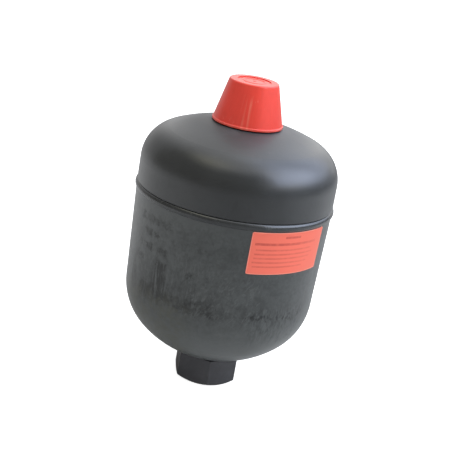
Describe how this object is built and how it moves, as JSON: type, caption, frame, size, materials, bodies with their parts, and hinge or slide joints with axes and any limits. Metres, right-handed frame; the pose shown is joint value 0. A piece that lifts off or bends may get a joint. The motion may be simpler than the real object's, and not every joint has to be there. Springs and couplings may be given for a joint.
{
  "type": "bladder accumulator",
  "caption": "Welded hydraulic accumulator: two-part dark steel shell with a rubber separator, tapered red gas valve cap, hexagonal threaded fluid port and a plain red label.",
  "frame": {"origin": "centre of the fluid port's end face, on the vessel's axis", "axes": "+Z along the vessel's axis from the fluid port to the gas side, -Y towards the middle of the label"},
  "size_m": [0.1696, 0.1696, 0.2681],
  "materials": {
    "shell_paint": "satin dark grey paint",
    "weld_paint": "painted weld bead",
    "port_paint": "matt black paint",
    "machined_steel": "turned steel",
    "plated_steel": "zinc plated",
    "valve_steel": "turned stainless steel",
    "rubber": "moulded nitrile rubber",
    "cap_plastic": "semi-gloss moulded polyethylene",
    "label_film": "printed film"
  },
  "bodies": {
    "vessel": {"fluid_shell": "shell_paint", "gas_shell": "shell_paint", "girth_weld": "weld_paint", "fluid_port": "port_paint", "port_weld": "weld_paint", "gas_boss": "machined_steel", "boss_weld": "weld_paint", "clamp_ring": "machined_steel", "diaphragm": "rubber", "charging_screw": "plated_steel", "screw_seal": "rubber", "label": "label_film"},
    "button": {"valve_button": "valve_steel", "button_washer": "valve_steel"},
    "cap": {"protective_cap": "cap_plastic"}
  },
  "joints": [
    {"name": "valve_travel", "type": "slide", "parent": "vessel", "child": "button", "axis": [0, 0, 1], "range_m": [0, 0.1], "deforming": ["diaphragm"]},
    {"name": "cap_pull", "type": "slide", "parent": "vessel", "child": "cap", "axis": [0, 0, 1], "range_m": [0, 0.06]}
  ]
}
